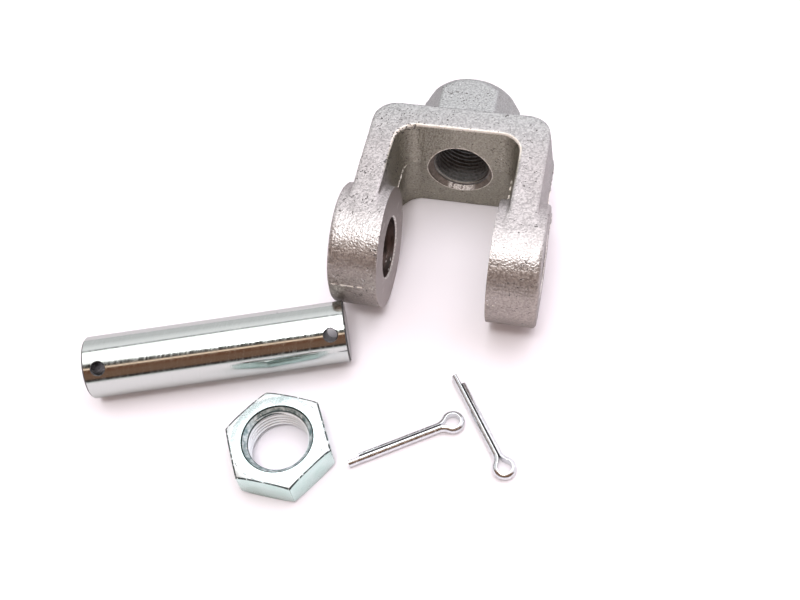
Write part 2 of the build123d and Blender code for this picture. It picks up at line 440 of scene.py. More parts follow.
def side_outline():
    """Side view of arms and bridge as a long bar: round at the bore, flat above and below."""
    bpy.ops.mesh.primitive_cylinder_add(vertices=160, radius=EAR_RADIUS, depth=2 * ARM_OUTER + OVERSHOOT)
    bar = placed(bpy.context.object, turn=TO_X)
    open_piece(bar, "VERT", lambda m: m.y > SAME_PLACE)
    bpy.ops.transform.translate(value=(0, BRIDGE_BACK, 0))
    close_piece()
    return bar


def in_jaw(place):
    """Whether a place on the rim of arms and bridge is on the jaw's side."""
    return abs(place.x) < (ARM_INNER + ARM_OUTER) / 2 and place.y < (BRIDGE_FRONT + BRIDGE_BACK) / 2


def arms():
    over = EAR_RADIUS + OVERSHOOT
    block = join(mould_half(over - PARTING_RISE), mould_half(-over - PARTING_RISE))
    open_piece(block)
    bpy.ops.mesh.remove_doubles(threshold=SAME_PLACE)
    close_solid()
    combine(block, "INTERSECT", side_outline())
    for inside, width in ((True, JAW_RIM_ROUND), (False, SHOULDER_RIM_ROUND)):
        on_rim = lambda m: abs(abs(m.z) - EAR_RADIUS) < SAME_PLACE and in_jaw(m) == inside and m.y > 0
        bevel(block, "EDGE", on_rim, width=width, segments=3)
    return block


def ear(side):
    """One ear's barrel as cast, with stock left on its inner face."""
    inner = EAR_GAP / 2 - MACHINING_STOCK
    outer = EAR_SPAN / 2
    bow = 0.3 * EAR_RIM_ROUND           # from the rim's corner to the middle of its round
    barrel = turned(
        "ear",
        (EAR_RADIUS, inner),
        (EAR_RADIUS, outer - EAR_RIM_ROUND),
        (EAR_RADIUS - bow, outer - bow),
        (EAR_RADIUS - EAR_RIM_ROUND, outer),
        steps=160,
    )
    return placed(barrel, turn=(0, side * pi / 2, 0))


def boss():
    """Hexagon with a corner to each side, its end turned to a cone."""
    root = (BRIDGE_FRONT + BRIDGE_BACK) / 2
    length = BOSS_END - root
    corners = BOSS_ACROSS_FLATS / sqrt(3)
    prism = turned("boss", (corners, 0), (corners, length + OVERSHOOT), steps=6)
    cone = turned(
        "boss end",
        (BOSS_END_RADIUS + (length + OVERSHOOT) * tan(BOSS_TAPER), -OVERSHOOT),
        (BOSS_END_RADIUS, length),
    )
    placed(prism, turn=(0, 0, CORNER_TO_X))
    combine(prism, "INTERSECT", cone)
    return placed(prism, (0, root, 0), TO_Y)


def ragged(place, size, seed):
    """Uneven value from 0 to 1 that changes over a length."""
    return 0.5 + 0.5 * noise.noise(Vector(place) / size + Vector((seed, seed, seed)))


def flash_height(place):
    """How far the fin stands out, from 0 to 1: heaviest inside the right arm, in dots on the bridge."""
    if abs(place.x) < ARM_INNER - JAW_CORNER / 2 and place.y < BRIDGE_BACK:
        low, gain, *teeth = FLASH_ON_BRIDGE
    elif place.y < 0:
        low, gain, *teeth = FLASH_ON_EARS
    elif (
        HEAVY_FLASH_ALONG[0] < place.y < HEAVY_FLASH_ALONG[1]
        and abs(place.x - ARM_INNER) < HEAVY_FLASH_REACH
    ):
        low, gain, *teeth = FLASH_IN_JAW
    else:
        low, gain, *teeth = FLASH_ELSEWHERE
    for size, seed in teeth:
        gain *= ragged((place.x, place.y, 0), size, seed)
    return min(1, max(0, low + gain))


def raise_flash(piece):
    """Pushes out the thin ragged fin that metal leaves where the two mould halves meet."""
    open_piece(piece, "FACE", lambda m: abs(m.z - PARTING_RISE) < (FLASH_FOOT + 1) * FLASH_HALF_WIDTH)
    bpy.ops.mesh.subdivide(number_cuts=1)
    close_piece()
    fin = piece.vertex_groups.new(name="flash")
    for vertex in piece.data.vertices:
        off_plane = (vertex.co.z - PARTING_RISE) / FLASH_HALF_WIDTH
        if abs(off_plane) < FLASH_FOOT and abs(vertex.normal.z) < WALL_STEEPNESS:
            weight = flash_height(vertex.co) * exp(-off_plane**2)
            fin.add([vertex.index], weight, "REPLACE")
    apply_modifier(
        piece,
        "DISPLACE",
        direction="NORMAL",
        vertex_group="flash",
        mid_level=0,
        strength=FLASH_HEIGHT,
    )
    piece.vertex_groups.clear()


def roughen(piece, size, depth):
    """Sinks a surface unevenly, in blotches of a size."""
    clouds = bpy.data.textures.new("clouds", "CLOUDS")
    clouds.noise_scale = size
    apply_modifier(
        piece, "DISPLACE", texture=clouds, texture_coords="LOCAL", mid_level=1, strength=depth
    )


def tap(name, length):
    """Solid rod with a 60 degree thread, to cut a tapped hole with. It runs along Z from the origin."""
    bpy.ops.mesh.primitive_circle_add(vertices=3, radius=THREAD_CREST_RADIUS)
    rod = settle(bpy.context.object)
    rod.name = name
    open_piece(rod, "VERT", lambda m: m.y < 0)
    bpy.ops.mesh.delete(type="VERT")
    close_piece()
    open_piece(rod)
    depth = THREAD_ROOT_RADIUS - THREAD_CREST_RADIUS
    eighth = THREAD_PITCH / 8
    flank = (THREAD_PITCH - 3 * eighth) / 2
    for outward, upward in ((0, 2 * eighth), (depth, flank), (0, eighth), (-depth, flank)):
        bpy.ops.mesh.extrude_vertices_move(TRANSFORM_OT_translate={"value": (0, outward, upward)})
    close_piece()
    apply_modifier(
        rod,
        "SCREW",
        axis="Z",
        steps=THREAD_STEPS,
        render_steps=THREAD_STEPS,
        iterations=int(length / THREAD_PITCH) + 2,
        screw_offset=THREAD_PITCH,
    )
    open_piece(rod)
    bpy.ops.mesh.remove_doubles(threshold=SAME_PLACE)
    for height, outside in ((THREAD_PITCH, -1), (length + THREAD_PITCH, 1)):
        bpy.ops.mesh.select_all(action="SELECT")
        bpy.ops.mesh.bisect(
            plane_co=(0, 0, height), plane_no=(0, 0, outside), use_fill=True, clear_outer=True
        )
    close_solid()
    return placed(rod, (0, 0, -THREAD_PITCH))


def dressed(solid, material):
    """Gives a solid one material. A cutting body hands it on to the faces that it cuts."""
    solid.data.materials.clear()
    solid.data.materials.append(material)
    for face in solid.data.polygons:
        face.material_index = 0
    return solid


def redressed(solid, material, chosen):
    """Gives the faces that pass a test a material of their own."""
    solid.data.materials.append(material)
    for face in solid.data.polygons:
        face.material_index = bool(chosen(face))
    return solid


def smooth_shaded(piece, angle):
    """Shades a piece smooth over every edge that turns by less than an angle in degrees."""
    choose(piece)
    bpy.ops.object.shade_smooth_by_angle(angle=radians(angle))


# ---- surface effects that several finishes share
VALUE = "NodeSocketFloat"
PLACE = "NodeSocketVector"
SPECK_TO_DRIFT = 0.12                   # a speck's size against that of a drift
DRIFT_GAIN = 0.3                        # how much more specks a drift has
MARK_TO_SCRATCH = 0.6                   # a mark's spacing against that of the deep ones
# levels of noise that count as 0 and as 1
BLOTCH_EDGE = (0.32, 0.68)
SPECK_EDGE = (0.74, 0.77)
SCRATCH_EDGE = (0.66, 0.74)


def plus(*values):
    return calculate("ADD", *values)


def minus(first, second):
    return calculate("SUBTRACT", first, second)


def larger(*values):
    return calculate("MAXIMUM", *values)


def new_effect(name, takes, gives):
    """Empty node group with named sockets. Returns it with what comes in and what goes out."""
    effect = bpy.data.node_groups.new(name, "ShaderNodeTree")
    for sockets, way in ((takes, "INPUT"), (gives, "OUTPUT")):
        for socket, kind in sockets.items():
            effect.interface.new_socket(name=socket, in_out=way, socket_type=kind)
    comes_in = new_node(effect, "NodeGroupInput").outputs
    return effect, comes_in, new_node(effect, "NodeGroupOutput").inputs


def noise_at(place, scale, **settings):
    """Noise from 0 to 1, its scale one over the size of its lumps."""
    node = new_node(place.id_data, "ShaderNodeTexNoise", Vector=place, Scale=scale, **settings)
    return node.outputs["Fac"]


def make_blotches():
    """Value that wanders between 0 and 1 in blotches of a size."""
    effect, takes, gives = new_effect(
        "blotches", {"Place": PLACE, "Size": VALUE, "Detail": VALUE}, {"Value": VALUE}
    )
    scale = calculate("DIVIDE", 1.0, takes["Size"])
    cloud = noise_at(takes["Place"], scale, Detail=takes["Detail"], Roughness=0.6)
    feed(gives["Value"], fade(cloud, *BLOTCH_EDGE))
    return effect


def make_specks():
    """Scattered small ragged specks, in drifts: a mask that is 1 in a speck."""
    effect, takes, gives = new_effect(
        "specks", {"Place": PLACE, "Size": VALUE, "Share": VALUE}, {"Mask": VALUE}
    )
    scale = calculate("DIVIDE", 1.0, takes["Size"])
    dots = noise_at(takes["Place"], scale, Detail=1.0)
    drifts = noise_at(takes["Place"], times(scale, SPECK_TO_DRIFT), Detail=1.0)
    level = plus(dots, times(minus(drifts, 0.5), DRIFT_GAIN), takes["Share"])
    feed(gives["Mask"], fade(level, *SPECK_EDGE))
    return effect


def make_tool_marks():
    """Fine lines along one way: their height, and the few that are deep enough to shine."""
    effect, takes, gives = new_effect(
        "tool marks", {"Place": PLACE, "Spacing": VALUE}, {"Height": VALUE, "Scratches": VALUE}
    )
    scale = calculate("DIVIDE", 1.0, takes["Spacing"])
    lines = noise_at(takes["Place"], scale, Detail=3.0, Roughness=0.7)
    feed(gives["Height"], lines)
    deep = noise_at(takes["Place"], times(scale, MARK_TO_SCRATCH), Detail=1.0)
    feed(gives["Scratches"], fade(deep, *SCRATCH_EDGE))
    return effect


BLOTCHES = make_blotches()
SPECKS = make_specks()
TOOL_MARKS = make_tool_marks()


def metal(name, metallic=1.0, **looks):
    """New material with a metal shader. Returns both."""
    material = bpy.data.materials.new(name)
    material.use_nodes = True
    tree = material.node_tree
    tree.nodes.clear()
    shader = new_node(tree, "ShaderNodeBsdfPrincipled", Metallic=metallic, **looks)
    new_node(tree, "ShaderNodeOutputMaterial", Surface=shader.outputs[0])
    return material, shader


def on_object(shader, turn=(0, 0, 0), stretch=(1, 1, 1), shift=(0, 0, 0)):
    """Place on the object, turned, moved and squeezed for a pattern that runs one way."""
    tree = shader.id_data
    place = new_node(tree, "ShaderNodeTexCoord").outputs["Object"]
    node = new_node(tree, "ShaderNodeMapping", Vector=place, Rotation=turn, Scale=stretch, Location=shift)
    return node.outputs[0]


def effect_on(effect, place, **values):
    """Puts a shared effect into a material. Returns its outputs."""
    return new_node(place.id_data, "ShaderNodeGroup", node_tree=effect, Place=place, **values).outputs


def blotches_on(place, size, detail=3.0):
    return effect_on(BLOTCHES, place, Size=size, Detail=detail)["Value"]


def coat(shader, colour, value, smooth, rough):
    """Gives a shader its colour, and a roughness that follows a value from 0 to 1."""
    node = new_node(shader.id_data, "ShaderNodeMapRange", Value=value, To_Min=smooth, To_Max=rough)
    feed(shader.inputs["Roughness"], node.outputs[0])
    feed(shader.inputs["Base Color"], colour)


def bumped(shader, height, depth):
    """Lets a height stand out of the surface by a depth in metres."""
    bump = new_node(shader.id_data, "ShaderNodeBump", Distance=depth, Height=height)
    feed(shader.inputs["Normal"], bump.outputs[0])


def off_axis(first, second):
    """Distance from an axis, by two coordinates at right angles to it."""
    return calculate("SQRT", plus(times(first, first), times(second, second)))


def blotchy_finish(name, dark, pale, size, smooth, rough, depth=0, metallic=1.0):
    """Metal whose shade, roughness and height wander together in blotches of a size."""
    material, shader = metal(name, metallic)
    blotches = blotches_on(on_object(shader), size)
    coat(shader, mixed(blotches, dark, pale), blotches, smooth, rough)
    if depth:
        bumped(shader, blotches, depth)
    return material


CAST_GREY = (0.49, 0.47, 0.465, 1)
CAST_DARKER = (0.43, 0.41, 0.405, 1)
CAST_GREENISH = (0.39, 0.405, 0.40, 1)
CAST_FRONT_SHADE = (0.39, 0.35, 0.325, 1)
CAST_JAW_SHADE = (0.36, 0.345, 0.29, 1)
CAST_RUBBED_AND_HIGHLIT = (0.90, 0.85, 0.78, 1)
CAST_SPECK = (0.13, 0.125, 0.12, 1)
CAST_PAINTED_GLINT = (0.85, 0.84, 0.85, 1)
CAST_GLINT = (0.4, 0.4, 0.4, 1)
CAST_GRAIN_SHARE = 0.18
CAST_METALLIC = 0.72
RUBBED_AND_HIGHLIT_METALLIC_LOSS = 0.6
RIM_HEIGHT = 0.0181                     # where the jaw's rounded rim starts
RIM_WIDTH = 0.0008
WALL_REACH = 0.0007                     # how far a cast wall may wander off its drafted plane
# fades over distances, each from where it is 0 to where it is 1
TO_GREENISH = (0.020, 0.050)            # along Y
TO_FRONT_SHADE = (-0.009, -0.016)          # along Y
TO_JAW = (0.012, 0.020)                 # along Y
TO_RUBBED_AND_HIGHLIT_RIM = (0.021, 0.030)          # along Y
TO_RIM_TOP = (RIM_HEIGHT - 0.0002, RIM_HEIGHT + 0.0002)
TO_THREAD_MOUTH = (0.00040, 0.00022)    # outside its edge
TO_FLASH = (0.00040, 0.00015)           # off the parting plane
PAST_EARS = (0, 0.010)                  # along Y
LEFT_OF_RIGHT_EAR = (0.0195, 0.0185)    # along X
OFF_BRIDGE = (BRIDGE_FRONT - 0.001, BRIDGE_FRONT - JAW_CORNER)
TO_CHIPPED_EDGE = (0.0014, 0.0004)      # off the jaw's drafted wall
TO_CHIPPED_TOP = (RIM_HEIGHT - 0.0025, RIM_HEIGHT - 0.0008)
TO_CHIPPED_SIDE = (-0.012, -0.015)      # along X
TO_MORE_SPECKS = (0.005, -0.020)        # along X
MOUTH_GAPS = (-0.3, 0.6)                # of a blotch's value
FLASH_GAPS = (0.45, 0.60)               # of a blotch's value
FLASH_LEFT_ON_BRIDGE = 0.15
SPECK_SHARE = 0.035
SPECK_SHARE_LEFT = 0.030                # added at the left
SPECK_SHARE_CHIPPED = 0.12              # added where the edge is chipped


def cast_finish():
    """Blasted casting: grey, finely speckled, browner and darker in the jaw and on the ears' fronts as
    painted shade, pale on rim and flash where worn and as a painted highlight there, with painted glints.
    """
    material, shader = metal("cast metal", Specular_Tint=CAST_GLINT)
    place = on_object(shader)
    x, y, z = axes_of(place)
    blotches = blotches_on(place, size=0.006)
    colour = mixed(blotches, CAST_DARKER, CAST_GREY)
    colour = mixed(fade(y, *TO_GREENISH), colour, CAST_GREENISH)
    # painted shade: darker and browner on the ears' fronts, which face the dim room
    colour = mixed(fade(y, *TO_FRONT_SHADE), colour, CAST_FRONT_SHADE)

    # how far a place is outside the jaw's drafted wall, which has round corners
    aside = larger(minus(calculate("ABSOLUTE", x), ARM_INNER - JAW_CORNER), 0)
    ahead = larger(minus(y, BRIDGE_FRONT - JAW_CORNER), 0)
    off_parting = calculate("ABSOLUTE", minus(z, PARTING_RISE))
    off_wall = minus(off_axis(aside, ahead), JAW_CORNER)
    off_wall = minus(off_wall, times(off_parting, tan(DRAFT)))
    inside = fade(y, *TO_JAW)
    within = times(inside, fade(off_wall, WALL_REACH, WALL_REACH / 2))
    # painted shade: the casting darker and browner on the jaw's inner walls
    colour = mixed(within, colour, CAST_JAW_SHADE)

    # pale where the jaw's rim, the thread's mouth and the flash stand out: partly rubbed metal, partly a
    # painted highlight where these edges catch the light
    on_rim = fade(off_wall, RIM_WIDTH, RIM_WIDTH / 2)
    rim = times(fade(y, *TO_RUBBED_AND_HIGHLIT_RIM), on_rim, fade(z, *TO_RIM_TOP))
    uneven = blotches_on(place, size=0.0018)
    off_mouth = minus(off_axis(x, z), THREAD_MOUTH_RADIUS)
    mouth = times(within, fade(off_mouth, *TO_THREAD_MOUTH), fade(uneven, *MOUTH_GAPS))
    off_ear = larger(fade(y, *PAST_EARS), fade(x, *LEFT_OF_RIGHT_EAR))
    off_bridge = larger(fade(y, *OFF_BRIDGE), FLASH_LEFT_ON_BRIDGE)
    dashes = times(fade(uneven, *FLASH_GAPS), fade(off_parting, *TO_FLASH))
    rubbed_and_highlit = larger(rim, mouth, times(dashes, off_ear, off_bridge))
    colour = mixed(rubbed_and_highlit, colour, CAST_RUBBED_AND_HIGHLIT)
    feed(shader.inputs["Metallic"], minus(CAST_METALLIC, times(rubbed_and_highlit, RUBBED_AND_HIGHLIT_METALLIC_LOSS)))

    # fine grain, bright sparks painted as glints, and dark specks that crowd at the left and on the jaw's
    # edge there
    grain = blotches_on(place, size=0.00060, detail=0.8)
    colour = mixed(CAST_GRAIN_SHARE, colour, grain, "OVERLAY")
    painted_glints = effect_on(SPECKS, place, Size=0.0005, Share=-0.01)["Mask"]
    colour = mixed(painted_glints, colour, CAST_PAINTED_GLINT)
    chipped = times(inside, fade(z, *TO_CHIPPED_TOP), fade(x, *TO_CHIPPED_SIDE))
    chipped = times(chipped, fade(calculate("ABSOLUTE", off_wall), *TO_CHIPPED_EDGE))
    at_left = times(fade(x, *TO_MORE_SPECKS), SPECK_SHARE_LEFT)
    share = plus(SPECK_SHARE, at_left, times(chipped, SPECK_SHARE_CHIPPED))
    specks = effect_on(SPECKS, on_object(shader, turn=(1, 2, 3)), Size=0.0007, Share=share)["Mask"]
    colour = mixed(specks, colour, CAST_SPECK)
    coat(shader, colour, grain, smooth=0.30, rough=0.40)
    bumped(shader, minus(grain, specks), depth=0.000050)
    return material


MILLED_DARK = (0.29, 0.262, 0.254, 1)
MILLED_PALE = (0.40, 0.357, 0.342, 1)
MILLED_SCRATCH = (0.62, 0.59, 0.58, 1)


def milled_finish():
    """Face-milled metal between the ears and on the boss's end."""
    material, shader = metal("milled metal")
    place = on_object(shader, stretch=(1, 0.12, 1))
    marks = effect_on(TOOL_MARKS, place, Spacing=0.0004)
    colour = mixed(marks["Height"], MILLED_DARK, MILLED_PALE)
    colour = mixed(marks["Scratches"], colour, MILLED_SCRATCH)
    coat(shader, colour, marks["Height"], smooth=0.36, rough=0.56)
    bumped(shader, marks["Height"], depth=0.00001)
    return material


BORED_DARK = (0.10, 0.088, 0.08, 1)
BORED_PALE = (0.24, 0.18, 0.165, 1)
BORED_SCRATCH = (0.80, 0.76, 0.74, 1)


def bored_finish():
    """Bored wall, stained reddish brown in the pin bore, with a few bright scratches."""
    material, shader = metal("bored metal")
    place = on_object(shader, stretch=(1, 0.25, 0.25))
    marks = effect_on(TOOL_MARKS, place, Spacing=0.0004)
    blotches = blotches_on(place, size=0.0015)
    colour = mixed(blotches, BORED_DARK, BORED_PALE)
    colour = mixed(marks["Scratches"], colour, BORED_SCRATCH)
    coat(shader, colour, marks["Height"], smooth=0.30, rough=0.55)
    bumped(shader, marks["Height"], depth=0.00002)
    return material


THREAD_FADE = 0.0002                    # from crest or root to where the painted highlight on the crest, and the painted shade in the root, is full
THREAD_GRIME = 0.2


def tapped_finish(name, bright, dark, lit, turn=(0, 0, 0), shift=(0, 0, 0), metallic=1.0):
    """Cut thread with painted light and shade: bright on its crests near one mouth as a painted
    highlight, dark in its roots and further in as painted shade.

    Turn and shift lay its axis on Z, and lit says from where to where it darkens there.
    """
    material, shader = metal(name, metallic)
    place = on_object(shader, turn=turn, shift=shift)
    x, y, z = axes_of(place)
    root = fade(off_axis(x, y), THREAD_CREST_RADIUS + THREAD_FADE, THREAD_ROOT_RADIUS - THREAD_FADE)
    inward = fade(z, *lit)
    blotches = blotches_on(place, size=0.0008)
    colour = mixed(larger(root, inward), bright, dark)
    colour = mixed(THREAD_GRIME, colour, blotches, "OVERLAY")
    coat(shader, colour, inward, smooth=0.35, rough=0.85)
    return material


COUNTERBORED_DARK = (0.20, 0.17, 0.15, 1)
COUNTERBORED_PALE = (0.32, 0.28, 0.25, 1)
TORN_DARK = (0.55, 0.50, 0.47, 1)
TORN_PALE = (1.0, 0.97, 0.95, 1)
MOUTH_SHADE = (0.08, 0.07, 0.065, 1)
TORN_ACROSS = (0.0050, 0.0036)          # along X, to either side
TORN_BELOW = (-0.0060, -0.0085)         # along Z
TORN_GAPS = (0.02, 0.30)                # of a blotch's value
BY_YOKE_THREAD = (THREAD_CREST_RADIUS + 0.0006, THREAD_CREST_RADIUS + 0.0004)


def counterbored_finish():
    """Dull ring around the thread's mouth in the jaw, torn and bright at its bottom."""
    material, shader = metal("counterbored metal", metallic=0.4)
    place = on_object(shader)
    x, _, z = axes_of(place)
    blotches = blotches_on(place, size=0.0012)
    crumbs = blotches_on(place, size=0.0006)
    colour = mixed(blotches, COUNTERBORED_DARK, COUNTERBORED_PALE)
    torn = times(fade(calculate("ABSOLUTE", x), *TORN_ACROSS), fade(z, *TORN_BELOW))
    torn = times(torn, fade(blotches, *TORN_GAPS))
    colour = mixed(torn, colour, mixed(crumbs, TORN_DARK, TORN_PALE))
    by_thread = fade(off_axis(x, z), *BY_YOKE_THREAD)
    colour = mixed(by_thread, colour, MOUTH_SHADE)
    coat(shader, colour, blotches, smooth=0.45, rough=0.65)
    bumped(shader, blotches, depth=0.00004)
    return material


CAST_METAL = cast_finish()
MILLED_METAL = milled_finish()
BORED_METAL = bored_finish()
BROKEN_EDGE = blotchy_finish(           # freshly broken: bright, with torn crumbs
    "broken edge",
    dark=(0.55, 0.52, 0.49, 1),
    pale=(0.93, 0.91, 0.89, 1),
    size=0.0006,
    smooth=0.35,
    rough=0.60,
    depth=0.00005,
    metallic=0.6,
)
# painted highlight on the crests near the jaw's mouth, painted shade in the roots and further in
YOKE_THREAD = tapped_finish(
    "yoke thread",
    bright=(0.70, 0.70, 0.64, 1),
    dark=(0.31, 0.31, 0.31, 1),
    lit=(0.0363, 0.0374),
    turn=(pi / 2, 0, 0),
)
COUNTERBORED_METAL = counterbored_finish()

casting = arms()
casting.name = "cast_yoke"
join(casting, ear(-1), ear(1), boss())
apply_modifier(casting, "REMESH", mode="VOXEL", voxel_size=CAST_GRAIN_SIZE)
apply_modifier(casting, "SMOOTH", factor=0.5, iterations=4)
roughen(casting, size=0.0060, depth=0.00016)
roughen(casting, size=0.0012, depth=0.00009)
raise_flash(casting)
dressed(casting, CAST_METAL)

# the jaw's faces, milled off the ears
bpy.ops.mesh.primitive_cube_add(size=1)
jaw = bpy.context.object
milled_height = 2 * (EAR_RADIUS + MILLING_REACH)
jaw.scale = (EAR_GAP, milled_height, milled_height)
combine(casting, "DIFFERENCE", dressed(settle(jaw), MILLED_METAL))

# the pin bore through both ears, and its four mouths broken
for side in (-1, 1):
    thickness = (EAR_SPAN - EAR_GAP) / 2
    wide = BORE_RADIUS + 2 * BORE_EDGE_BREAK
    bore = turned(
        "bore",
        (wide, -BORE_EDGE_BREAK),
        (BORE_RADIUS, BORE_EDGE_BREAK),
        (BORE_RADIUS, thickness - BORE_EDGE_BREAK),
        (wide, thickness + BORE_EDGE_BREAK),
    )
    at_mouth = lambda face: abs(face.center.z - thickness / 2) > thickness / 2 - BORE_EDGE_BREAK
    redressed(dressed(bore, BORED_METAL), BROKEN_EDGE, at_mouth)
    combine(casting, "DIFFERENCE", placed(bore, (side * EAR_GAP / 2, 0, 0), (0, side * pi / 2, 0)))

# the rod's thread, from the boss to the jaw, then its mouths
rod_length = BOSS_END - BRIDGE_FRONT
thread = placed(tap("thread", rod_length + 2 * OVERSHOOT), (0, BRIDGE_FRONT - OVERSHOOT, 0), TO_Y)
combine(casting, "DIFFERENCE", dressed(thread, YOKE_THREAD))
cone_point = THREAD_CREST_RADIUS / 2    # the mouths' 45 degree cones end inside the open hole
cone_depth = THREAD_MOUTH_RADIUS - cone_point
jaw_mouth = turned(
    "jaw mouth",
    (THREAD_MOUTH_RADIUS, -3 * OVERSHOOT),
    (THREAD_MOUTH_RADIUS, COUNTERBORE_DEPTH),
    (cone_point, COUNTERBORE_DEPTH + cone_depth),
)
boss_mouth = turned(
    "boss mouth",
    (cone_point, rod_length - cone_depth),
    (THREAD_MOUTH_RADIUS + OVERSHOOT, rod_length + OVERSHOOT),
)
for mouth in (jaw_mouth, boss_mouth):
    combine(casting, "DIFFERENCE", dressed(placed(mouth, (0, BRIDGE_FRONT, 0), TO_Y), COUNTERBORED_METAL))

# the boss's end, faced
bpy.ops.mesh.primitive_cube_add(size=FACING_BLOCK, location=(0, BOSS_END + FACING_BLOCK / 2, 0))
combine(casting, "DIFFERENCE", dressed(settle(bpy.context.object), MILLED_METAL))
smooth_shaded(casting, angle=38)
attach(casting, "root")
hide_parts("yoke")

# ========================================
# Clevis pin. A bright-drawn steel rod, ground and polished, its ends
# chamfered and a cross hole for a cotter drilled near each of them.
# ========================================
PIN_RADIUS = 0.01905 / 2
PIN_LENGTH = 0.0794
PIN_CHAMFER = 0.0005
PIN_RING_SPACING = 0.0021
PIN_MIDDLE = (-0.062444, -0.039288, FLOOR + PIN_RADIUS)
PIN_LAY = radians(18.95)                # pin's direction, left of X
CROSS_HOLE_RADIUS = 0.0020
CROSS_HOLE_SPACING = 0.06985
CROSS_HOLE_TILT = radians(54.5)         # above level, as the pin lies
CROSS_HOLE_BREAK = 0.0003
PIN_GLINT = (0.7, 0.7, 0.7, 1)
PIN_DARK = (0.51, 0.54, 0.52, 1)
PIN_PALE = (0.60, 0.63, 0.61, 1)
PIN_NICK = (0.25, 0.25, 0.25, 1)
ROUGH_RINGS = (0.35, 0.7)               # of a ring's height


def polished_finish():
    """Bright polished metal: rings left by the polishing belt, and a few stray nicks."""
    material, shader = metal("polished pin", Specular_Tint=PIN_GLINT)
    place = on_object(shader, turn=(0, 0, -PIN_LAY), stretch=(1, 0.08, 0.08))
    rings = effect_on(TOOL_MARKS, place, Spacing=0.00045)["Height"]
    nicks = effect_on(SPECKS, on_object(shader), Size=0.0010, Share=-0.07)["Mask"]
    colour = mixed(nicks, mixed(rings, PIN_DARK, PIN_PALE), PIN_NICK)
    coat(shader, colour, fade(rings, *ROUGH_RINGS), smooth=0.07, rough=0.22)
    bumped(shader, rings, depth=0.000007)
    return material


POLISHED_METAL = polished_finish()
CROSS_HOLE_SHADE_METAL = blotchy_finish(         # dull, and dark as painted shade inside the cross holes
    "drilled wall shade",
    dark=(0.06, 0.058, 0.056, 1),
    pale=(0.26, 0.25, 0.245, 1),
    size=0.0008,
    smooth=0.25,
    rough=0.45,
)
SHADE_BLACK_METAL = blotchy_finish(       # black: painted shade on the pin's chamfers and round its cross holes' mouths, and in the gap between a cotter's legs
    "painted shade black",
    dark=(0.03, 0.03, 0.03, 1),
    pale=(0.12, 0.12, 0.12, 1),
    size=0.0009,
    smooth=0.5,
    rough=0.7,
    metallic=0.5,
)


def clevis_pin():
    """Pin along Z, its middle at the origin, drilled across along X."""
    half = PIN_LENGTH / 2
    count = round(PIN_LENGTH / PIN_RING_SPACING)
    straight = PIN_LENGTH - 2 * PIN_CHAMFER
    heights = [-half + PIN_CHAMFER + straight * i / count for i in range(count + 1)]
    pin = turned(
        "polished_clevis_pin",
        (PIN_RADIUS - PIN_CHAMFER, -half),
        *[(PIN_RADIUS, height) for height in heights],
        (PIN_RADIUS - PIN_CHAMFER, half),
        steps=192,
    )
    on_chamfer = lambda face: half - PIN_CHAMFER < abs(face.center.z) < half
    # the chamfered ends painted black as shade
    redressed(dressed(pin, POLISHED_METAL), SHADE_BLACK_METAL, on_chamfer)
    rim = CROSS_HOLE_RADIUS + CROSS_HOLE_BREAK
    wall = (CROSS_HOLE_RADIUS, PIN_RADIUS - CROSS_HOLE_BREAK)
    mouth = (rim, PIN_RADIUS)
    outside = (rim, PIN_RADIUS + 2 * CROSS_HOLE_BREAK)
    upper = [wall, mouth, outside]
    lower = [(radius, -height) for radius, height in reversed(upper)]
    for end in (-1, 1):
        drill = turned("drill", *lower, *upper, steps=48)
        at_mouth = lambda face: face.center.xy.length > CROSS_HOLE_RADIUS + CROSS_HOLE_BREAK / 3
        # the holes' mouths painted black as shade
        redressed(dressed(drill, CROSS_HOLE_SHADE_METAL), SHADE_BLACK_METAL, at_mouth)
        for vertex in drill.data.vertices:      # the mouths follow the pin's round
            dip = PIN_RADIUS - sqrt(PIN_RADIUS**2 - vertex.co.y**2)
            vertex.co.z += dip if vertex.co.z < 0 else -dip
        combine(pin, "DIFFERENCE", placed(drill, (0, 0, end * CROSS_HOLE_SPACING / 2), TO_X))
    return pin


pin = clevis_pin()
placed(pin, turn=(0, 0, pi / 2 - CROSS_HOLE_TILT))
placed(pin, turn=TO_X)
placed(pin, PIN_MIDDLE, (0, 0, PIN_LAY))
smooth_shaded(pin, angle=30)
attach(pin, "root")
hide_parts("clevis_pin")

# ========================================
# Jam nut. Turned and tapped from hexagon bar, both faces chamfered and
# both mouths countersunk, then zinc plated with a faint cool tint.
# ========================================
NUT_ACROSS_FLATS = 0.0280
NUT_THICKNESS = 0.0108
NUT_FACE_RADIUS = 0.0135
NUT_CHAMFER = radians(30)               # from the nut's face
NUT_CROWN = 1.9                         # how much the chamfers curve over
NUT_EDGE_ROUND = 0.00022
NUT_MIDDLE = (-0.036250, -0.065704, FLOOR)
NUT_LAY = radians(-2.2)
ZINC_DENT = (0.35, 0.36, 0.36, 1)
ZINC_GRAIN_SHARE = 0.04
CHAMFER_DARK = (0.74, 0.82, 0.82, 1)
CHAMFER_PALE = (0.88, 0.92, 0.92, 1)
CHAMFER_START = (0.35, 0.40, 0.40, 1)
DARK_REFLECTION_EDGE = (0.04, 0.055, 0.055, 1)
COUNTERSUNK_DARK = (0.22, 0.33, 0.34, 1)
COUNTERSUNK_PALE = (0.80, 0.88, 0.89, 1)
COUNTERSUNK_CRUMB = (0.90, 0.90, 0.88, 1)
COUNTERSUNK_RIM_SHADE = (0.03, 0.05, 0.05, 1)
CHAMFER_EDGE = NUT_ACROSS_FLATS / 2 - NUT_EDGE_ROUND
TO_DARK_REFLECTION_EDGE = (CHAMFER_EDGE - 0.00035, CHAMFER_EDGE - 0.00015)
TO_CHAMFER_START = (NUT_FACE_RADIUS + 0.0004, NUT_FACE_RADIUS + 0.0002)
